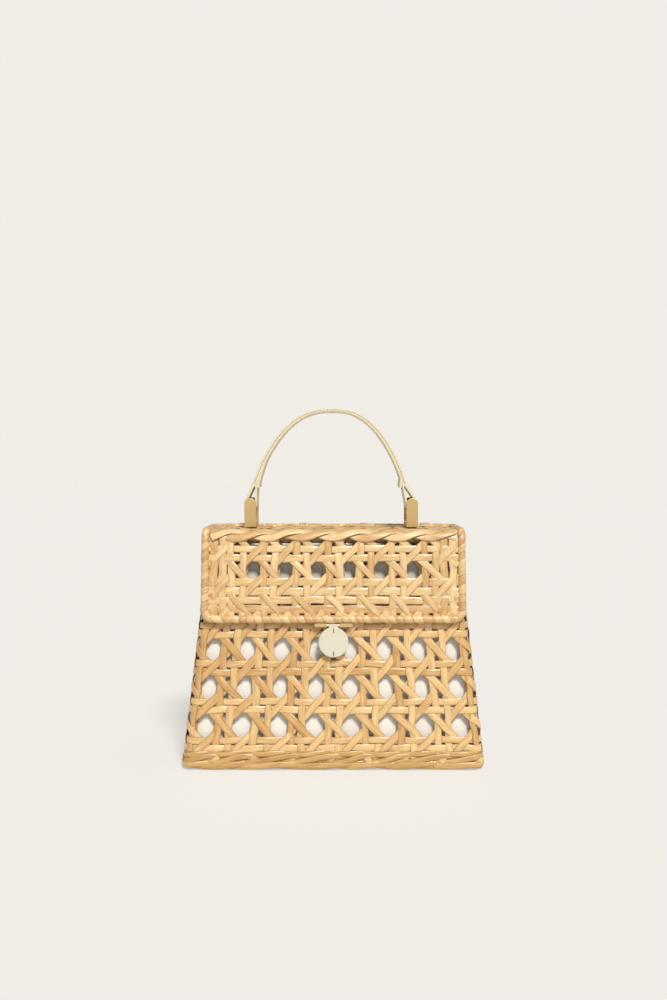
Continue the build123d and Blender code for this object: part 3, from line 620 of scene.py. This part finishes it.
for column in range(1, 8):
    for side in (-1, 1):
        path = []
        for y in range(-mat_y, mat_y + 1, 2):
            row = y / mat_pitch
            rise = -side * 0.5 * wave((row - (round(row - 0.5) + 0.5)) / 0.125)
            path.append(((column - 4) * mat_pitch + side * 5.2, y, rise))
        mat_strand(path, 6.2)
for row in (-1.5, -0.5, 0.5, 1.5):
    for side in (-1, 1):
        path = []
        for x in range(-mat_x, mat_x + 1, 2):
            column = x / mat_pitch
            rise = side * 0.5 * wave((column - round(column)) / 0.168)
            path.append((x, row * mat_pitch + side * 3.9, rise))
        mat_strand(path, 5.5)
for start in range(-6, 7):
    for slant in (-1, 1):
        path = []
        for y in range(-mat_y, mat_y + 1, 2):
            x = start * mat_pitch + slant * y
            if abs(x) < mat_x:
                path.append((x, y, -slant * 0.7 * math.cos(2 * math.pi * y / mat_pitch)))
        if len(path) > 3:
            mat_strand(path, 5.3)
finish_strands("base_mat", mat, body_cane, "body", "woven_cane", "base_weave")

# Hinge lashings: four bindings that hold the flap to the mouth of the bag, narrow splits
# of cane wound five times round the top rim and the flap's rear rod. They are tight on
# the rim, and the rod turns in them.
lash_turns, lash_step = 5, 1.4
for number, x in enumerate((-84, -28, 28, 84), 1):
    lashing = ([], [], [], [], [])
    first_turn = x - (lash_turns - 1) / 2 * lash_step
    for turn in range(lash_turns):
        places, outs = [], []
        for k in range(40):
            a = 2 * math.pi * k / 40
            centre = rim_height if math.sin(a) < 0 else hinge_height
            out = Vector((0, math.cos(a), math.sin(a)))
            middle = Vector((first_turn + turn * lash_step, hinge_back, centre))
            places.append((middle + out * (3.55 - 0.35 * math.sin(a))) * mm)
            outs.append(out)
        lay_strand(lashing, places, outs, 1.45 * mm, 0.6 * mm, random.random() * 0.7, True)
    finish_strands(f"lashing_{number}", lashing, rod_cane, "body", "binding_cane", f"hinge_lashing_{number}")

# Lining: a loose pouch of plain white cotton, sewn from one flat cut and stitched to the
# rim inside the mouth. It hangs a few millimetres off the weave, in soft ripples.
# Matt cloth: threads about 1 mm apart, coarser than real ones so that they show.
threads_per_metre = 900.0
cotton, tree, shader = new_material("lining_cotton")
where = add_node(tree, "ShaderNodeTexCoord")
threads = add_node(
    tree, "ShaderNodeTexNoise",
    {"Vector": where.outputs["Object"], "Scale": threads_per_metre, "Detail": 2.0})
shade = add_node(tree, "ShaderNodeValToRGB", {"Fac": threads.outputs["Fac"]})
shade.color_ramp.elements[0].color = srgb("ece5da")
shade.color_ramp.elements[1].color = srgb("f8f3ea")
tree.links.new(shade.outputs["Color"], shader.inputs["Base Color"])
nap = add_node(
    tree, "ShaderNodeBump", {"Height": threads.outputs["Fac"], "Strength": 0.3, "Distance": 0.0002})
tree.links.new(nap.outputs[0], shader.inputs["Normal"])
shader.inputs["Roughness"].default_value = 0.9
shader.inputs["Sheen Weight"].default_value = 0.2
around, levels, pouch_foot, pouch_head = 176, 30, 9.2, 187.4
verts, faces = [], []
for level in range(levels + 1):
    height = pouch_foot + (pouch_head - pouch_foot) * level / levels
    for i in range(around):
        place, out = wall_place(columns * i / around, height)
        ripple = noise.noise(Vector((place.x * 0.03, place.y * 0.03, height * 0.02))) * 1.28
        drawn_in = 0.48 * math.sin(math.pi * level / levels)
        flat = Vector((out.x, out.y, 0)).normalized()
        verts.append((place - flat * (5.3 + drawn_in - ripple)) * mm)
for level in range(levels):
    lower, upper = level * around, (level + 1) * around
    for i in range(around):
        j = (i + 1) % around
        faces.append((lower + i, lower + j, upper + j, upper + i))
faces.append(tuple(reversed(range(around))))
pouch = make_piece("lining_pouch", verts, faces, cotton)
# The last lashing is still selected here, so it takes this angle as well
pouch.select_set(True)
bpy.context.view_layer.objects.active = pouch
bpy.ops.object.shade_smooth_by_angle(angle=math.radians(50))
cloth = pouch.modifiers.new("cloth", "SOLIDIFY")
cloth.thickness = 0.8 * mm
cloth.offset = -1
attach(pouch, "body")
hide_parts("lining")

# Handle: a stiff arched strap of two plies of cream leather, glued and stitched. The outer
# ply's ends fold into loops round the forks' pins, and the under ply has tongues for ends.
# Smooth calf grain: pores drawn 1.7 mm apart so that they show, and clouds of 17 mm.
pores_per_metre, clouds_per_metre = 600.0, 60.0
leather, tree, shader = new_material("handle_leather")
where = add_node(tree, "ShaderNodeTexCoord")
grain = add_node(tree, "ShaderNodeTexVoronoi", {"Vector": where.outputs["Object"], "Scale": pores_per_metre})
clouds = add_node(
    tree, "ShaderNodeTexNoise",
    {"Vector": where.outputs["Object"], "Scale": clouds_per_metre, "Detail": 3.0})
shade = add_node(tree, "ShaderNodeValToRGB", {"Fac": clouds.outputs["Fac"]})
shade.color_ramp.elements[0].color = srgb("d6cdae")
shade.color_ramp.elements[1].color = srgb("e5ddc2")
tree.links.new(shade.outputs["Color"], shader.inputs["Base Color"])
pores = add_node(
    tree, "ShaderNodeBump", {"Height": grain.outputs["Distance"], "Strength": 0.06, "Distance": 0.0002})
tree.links.new(pores.outputs[0], shader.inputs["Normal"])
shader.inputs["Roughness"].default_value = 0.5
handle_back, handle_middle, pin_height = 0.35, -1.1, 222.2
pins = (("left", -73), ("right", 69))
strap_half, strap_width, under_width = 2.2, 26, 25.6
arch_left, arch_right, arch_rise, arch_base = 71.5, 66.5, 75.7, 5.2
arch_spread, arch_climb, foot_rise, crown = 0.79, 1.64, 12.6, 1.5


def arch(rise, count=96):
    """The handle's side view at a distance from its middle line, from the left foot to the right one."""
    low = math.asin((foot_rise / (arch_rise + rise)) ** (1 / arch_climb))
    route = []
    for part in evenly(0, 1, count):
        a = low + (math.pi - 2 * low) * (part - 0.035 * math.sin(4 * math.pi * part))
        reach_out = (arch_left if a < math.pi / 2 else arch_right) + rise
        out = math.copysign(abs(math.cos(a)) ** arch_spread, math.cos(a))
        top = math.sin(a) ** 8
        rise_here = arch_rise + crown * top + rise * (1 - 0.4 * top)
        height = pin_height + arch_base + rise_here * math.sin(a) ** arch_climb
        route.append((handle_middle - reach_out * out, height))
    return route


def strap_ply(name, tops, unders, width, edge):
    """One ply of the strap between two side-view lines, its four edges rounded and burnished."""
    verts, faces, ring = [], [], 16
    for (x0, z0), (x1, z1) in zip(unders, tops):
        thick = math.hypot(x1 - x0, z1 - z0)
        ease = min(edge, 0.45 * thick)
        for number, (side, top) in enumerate(((1, 1), (-1, 1), (-1, -1), (1, -1))):
            for k in range(4):
                a = math.pi / 2 * number + math.pi / 6 * k
                y = side * (width / 2 - ease) + ease * math.cos(a)
                up = (top * (thick / 2 - ease) + ease * math.sin(a)) / thick + 0.5
                verts.append(((x0 + (x1 - x0) * up) * mm, (handle_back + y) * mm, (z0 + (z1 - z0) * up) * mm))
    for i in range(len(tops) - 1):
        here, there = i * ring, (i + 1) * ring
        for k in range(ring):
            m = (k + 1) % ring
            faces.append((here + k, here + m, there + m, there + k))
    faces += [tuple(range(ring)), tuple(reversed(range(len(verts) - ring, len(verts))))]
    ply = make_piece(name, verts, faces, leather)
    face_outwards(ply)
    bpy.ops.object.shade_smooth_by_angle(angle=math.radians(25))
    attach(ply, "flap")
    return ply


outer_ply = strap_ply("handle_outer", arch(strap_half), arch(0.08), strap_width, 0.45)
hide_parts("handle_strap")
under_ply = strap_ply("handle_under", arch(-0.08), arch(-strap_half), under_width, 0.45)
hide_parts("handle_lining")
tongue_round = 1.1
for across, stations, whole in (("left", 16, 1), ("right", 6, -1)):
    close = arch(-strap_half + 0.1)[::whole][:stations]
    away = arch(-strap_half - 2.1)[::whole][:stations]
    slack = []
    for i, pair in enumerate(zip(close, away)):
        share = (1 - 0.97 * i / (stations - 1)) ** 0.7
        slack.append(tuple(c + (a - c) * share for c, a in zip(*pair)))
    tip_x, tip_z = (close[0][0] + slack[0][0]) / 2, close[0][1] - 2.6
    tip = [(tongue_round * math.cos(math.radians(a)), tip_z - tongue_round * math.sin(math.radians(a)))
           for a in (82, 60, 40, 20, 0)]
    tops = [(tip_x - whole * aside, z) for aside, z in tip] + close
    unders = [(tip_x + whole * aside, z) for aside, z in tip] + slack
    strap_ply(f"handle_{across}_tongue", tops, unders, 25.2, 0.4)


def ring_points(x, radius, count):
    """A circle of places round a pin, in side view."""
    turns = [2 * math.pi * k / count for k in range(count)]
    return [(x + radius * math.cos(a), pin_height + radius * math.sin(a)) for a in turns]


def round_the_pin(pin_x, radius, tips):
    """A loop's side view: a ring round the pin drawn up to its tips under the strap's foot."""
    spots = [Vector(spot) for spot in ring_points(pin_x, radius, 48) + tips]
    return [tuple(spots[k]) for k in geometry.convex_hull_2d(spots)]


def cut_leather(name, outlines, width, edge):
    """Cuts leather to a side view, gives it its width and eases its edges."""
    curve = bpy.data.curves.new(name, "CURVE")
    curve.dimensions = "2D"
    curve.fill_mode = "BOTH"
    for outline in outlines:
        spline = curve.splines.new("POLY")
        spline.points.add(len(outline) - 1)
        for point, (x, z) in zip(spline.points, outline):
            point.co = (x * mm, z * mm, 0, 1)
        spline.use_cyclic_u = True
    curve.extrude = (width / 2 - edge) * mm
    curve.bevel_depth = edge * mm
    curve.bevel_resolution = 2
    curve.offset = -edge * mm
    shape = bpy.data.objects.new(name, curve)
    bpy.context.collection.objects.link(shape)
    shape.rotation_euler = (math.radians(90), 0, 0)
    shape.location = (0, handle_back * mm, 0)
    pick(shape)
    bpy.ops.object.convert(target="MESH")
    bpy.ops.object.transform_apply(location=True, rotation=True, scale=True)
    bpy.ops.object.shade_smooth_by_angle(angle=math.radians(22))
    shape = bpy.context.object
    shape.data.materials.clear()
    shape.data.materials.append(leather)
    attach(shape, "flap")
    return shape


loop_radius, hole_radius, hole_top, sleeve_radius, bore_radius = 5.6, 3.6, 237.5, 3.4, 2.15
for (across, pin_x), end in zip(pins, (0, -1)):
    far, near = arch(strap_half)[end], arch(-strap_half)[end]
    foot_x = (far[0] + near[0]) / 2
    loop = round_the_pin(pin_x, loop_radius, [far, near])
    hole = round_the_pin(pin_x, hole_radius, [(foot_x - 0.4, hole_top), (foot_x + 0.4, hole_top)])
    cut_leather(f"handle_{across}_loop", [loop, hole], strap_width, 0.45)
    rings = [ring_points(pin_x, sleeve_radius, 40), ring_points(pin_x, bore_radius, 40)]
    sleeve = cut_leather(f"pin_sleeve_{across}", rings, under_width, 0.2)
    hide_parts(f"{across}_loop_liner")

# Handle stitching: two rows of fine waxed linen thread near the strap's edges, through
# both plies, in stitches of 2 mm drawn nearly flush. Dull thread close to the leather's colour.
thread, tree, shader = new_material("thread")
where = add_node(tree, "ShaderNodeTexCoord")
twist = add_node(tree, "ShaderNodeTexNoise", {"Vector": where.outputs["Object"], "Scale": 2500.0})
shade = add_node(tree, "ShaderNodeValToRGB", {"Fac": twist.outputs["Fac"]})
shade.color_ramp.elements[0].color = srgb("c6bb9b")
shade.color_ramp.elements[1].color = srgb("d8cfb4")
tree.links.new(shade.outputs["Color"], shader.inputs["Base Color"])
shader.inputs["Roughness"].default_value = 0.7
stitches = ([], [], [], [], [])
stitch_pitch, row_aside = 3.1, 10.2
for rise, face in ((strap_half + 0.02, 1), (-strap_half - 0.02, -1)):
    route = arch(rise, 400)
    walked, next_at = 0, 2.5
    for (x0, z0), (x1, z1) in zip(route, route[1:]):
        walked += math.hypot(x1 - x0, z1 - z0)
        if walked < next_at:
            continue
        next_at += stitch_pitch
        along = Vector((x1 - x0, 0, z1 - z0)).normalized()
        out = Vector((-along.z, 0, along.x)) * face
        for y in (-row_aside, row_aside):
            spot = Vector((x0, handle_back + y, z0))
            places = []
            for t in (-1.0, -0.6, 0, 0.6, 1.0):
                sunk = 0.16 if abs(t) > 0.9 else 0.04
                places.append((spot + along * t - out * sunk) * mm)
            lay_strand(stitches, places, [out] * 5, 0.4 * mm, 0.2 * mm, 0.5)
finish_strands("handle_stitching", stitches, thread, "flap", "strap_leather")


# Forks: the two brackets that hold the handle's pins, each cut and bent from one strip of
# satin brass and screwed down through the flap: two tines with round heads on a low foot.
def metal(name, colour, dark, rough, scale, sheen):
    """Brushed metal: fine scratches in one direction over a slightly uneven polish.

    scale is strokes per metre on each axis, so 60 gives streaks of about 17 mm and 900 of 1 mm."""
    material, tree, shader = new_material(name)
    where = add_node(tree, "ShaderNodeTexCoord")
    drawn = add_node(tree, "ShaderNodeMapping", {"Vector": where.outputs["Object"], "Scale": scale})
    scratch = add_node(tree, "ShaderNodeTexNoise", {"Vector": drawn.outputs[0], "Scale": 1.0, "Detail": 4.0})
    shade = add_node(tree, "ShaderNodeValToRGB", {"Fac": scratch.outputs["Fac"]})
    shade.color_ramp.elements[0].color = srgb(dark)
    shade.color_ramp.elements[1].color = srgb(colour)
    tree.links.new(shade.outputs["Color"], shader.inputs["Base Color"])
    polish = add_node(tree, "ShaderNodeMapRange",
                      {"Value": scratch.outputs["Fac"], "To Min": rough - 0.06, "To Max": rough + 0.08})
    tree.links.new(polish.outputs[0], shader.inputs["Roughness"])
    lines = add_node(
        tree, "ShaderNodeBump", {"Height": scratch.outputs["Fac"], "Strength": 0.08, "Distance": 0.0002})
    tree.links.new(lines.outputs[0], shader.inputs["Normal"])
    shader.inputs["Metallic"].default_value = sheen
    return material


def ease_edges(piece, width, angle):
    """Rounds a metal piece's sharp edges, as tumbling does."""
    eased = piece.modifiers.new("eased edges", "BEVEL")
    eased.width = width * mm
    eased.segments = 3
    eased.limit_method = "ANGLE"
    eased.angle_limit = math.radians(angle)


fork_brass = metal("fork_brass", "d9bd88", "cfb07a", 0.42, (60, 60, 60), 0.45)
tine_half, tine_thick, deck_rise, foot_end, shelf_thick = 5.1, 2.0, 6.0, 9.0, 2.5
for across, pin_x in pins:
    low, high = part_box(f"{across}_fork")
    tine = [(pin_x - tine_half, low[2] / mm), (pin_x - tine_half, pin_height)]
    for k in range(1, 32):
        a = k * math.pi / 32
        tine.append((pin_x - tine_half * math.cos(a), pin_height + tine_half * math.sin(a)))
    tine += [(pin_x + tine_half, pin_height), (pin_x + tine_half, low[2] / mm)]
    count = len(tine)
    front_inside, back_inside = low[1] + tine_thick * mm, high[1] - tine_thick * mm
    verts, faces = [], []
    for front, back in ((low[1], front_inside), (back_inside, high[1])):
        first = len(verts)
        verts += [(x * mm, y, z * mm) for y in (front, back) for x, z in tine]
        faces.append(tuple(range(first, first + count)))
        faces.append(tuple(reversed(range(first + count, first + 2 * count))))
        for k in range(count):
            m = (k + 1) % count
            faces.append((first + k, first + count + k, first + count + m, first + m))
    deck, foot_back = low[2] + deck_rise * mm, (handle_back + foot_end) * mm
    foot = (front_inside, foot_back, low[2], deck)
    shelf = (foot_back, back_inside, deck - shelf_thick * mm, deck)
    for y0, y1, z0, z1 in (foot, shelf):
        first = len(verts)
        for side in (-1, 1):
            verts += [((pin_x + side * tine_half) * mm, y, z) for y in (y0, y1) for z in (z0, z1)]
        for quad in ((0, 1, 3, 2), (4, 6, 7, 5), (0, 4, 5, 1), (2, 3, 7, 6), (0, 2, 6, 4), (1, 5, 7, 3)):
            faces.append(tuple(first + k for k in quad))
    fork = make_piece(f"fork_{across}", verts, faces, fork_brass)
    ease_edges(fork, 0.4, 50)
    pick(fork)
    bpy.ops.object.shade_smooth_by_angle(angle=math.radians(40))
    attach(fork, "flap")
    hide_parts(f"{across}_fork")

# Clasp: a brass hanger screwed under the flap's lower rim and, on its hinge pin, a pale
# plated disc with a magnet in its back that meets a plate on the body. The small steel
# pieces, and the rods of the frame under the weave, hardly show.
# Painted reflection in part: the disc is only a third metal, so its pale colour, the plating's own, also
# stands in for the bright room it reflects
disc_brass = metal("disc_brass", "e4e0cf", "dcd6c0", 0.4, (60, 900, 900), 0.3)
steel = metal("small_steel", "cfcfcf", "b4b4b4", 0.35, (900, 60, 900), 1.0)
small_pieces = (
    "left_fork_pin", "right_fork_pin", "clasp_pin", "hanger_screws", "clasp_magnet", "strike_plate",
    "strike_rivet", "strike_washer", "left_backing_plate", "right_backing_plate", "left_fork_screws",
    "right_fork_screws")
frame_rods = ("base_frame", "left_front_post", "left_back_post", "right_front_post", "right_back_post")
for material, names in (
    (fork_brass, ("clasp_hanger",)), (disc_brass, ("clasp_disc",)),
    (steel, small_pieces), (rod_cane, frame_rods)
):
    for name in names:
        nodes[name].data.materials.clear()
        nodes[name].data.materials.append(material)
for name in ("clasp_hanger", "clasp_disc"):
    ease_edges(nodes[name], 0.35, 35)

# Slots of the disc: two short milled marks, at its top and its foot. Thin, dull, dark brown strips
# laid on their floors are painted shadow, the shade that falls into the slots.
slot_shadow, tree, shader = new_material("slot_shadow")
where = add_node(tree, "ShaderNodeTexCoord")
shadow_noise = add_node(tree, "ShaderNodeTexNoise", {"Vector": where.outputs["Object"], "Scale": 1200.0})
shade = add_node(tree, "ShaderNodeValToRGB", {"Fac": shadow_noise.outputs["Fac"]})
shade.color_ramp.elements[0].color = srgb("5d4a30")
shade.color_ramp.elements[1].color = srgb("7c6748")
tree.links.new(shade.outputs["Color"], shader.inputs["Base Color"])
slots = ([], [], [], [], [])
disc_climb, slot_aside, slot_rise, slot_half = 107.49, 9.65, 1.17, 2.0
for middle in (disc_climb + slot_aside, disc_climb - slot_aside):
    spots = [flap_point(0, climb, slot_rise) for climb in evenly(middle - slot_half, middle + slot_half, 4)]
    lay_strand(slots, [place for place, out in spots], [out for place, out in spots], 0.74 * mm, 0.12 * mm, 0)
finish_strands("disc_slot_shadows", slots, slot_shadow, "clasp", "disc_brass")
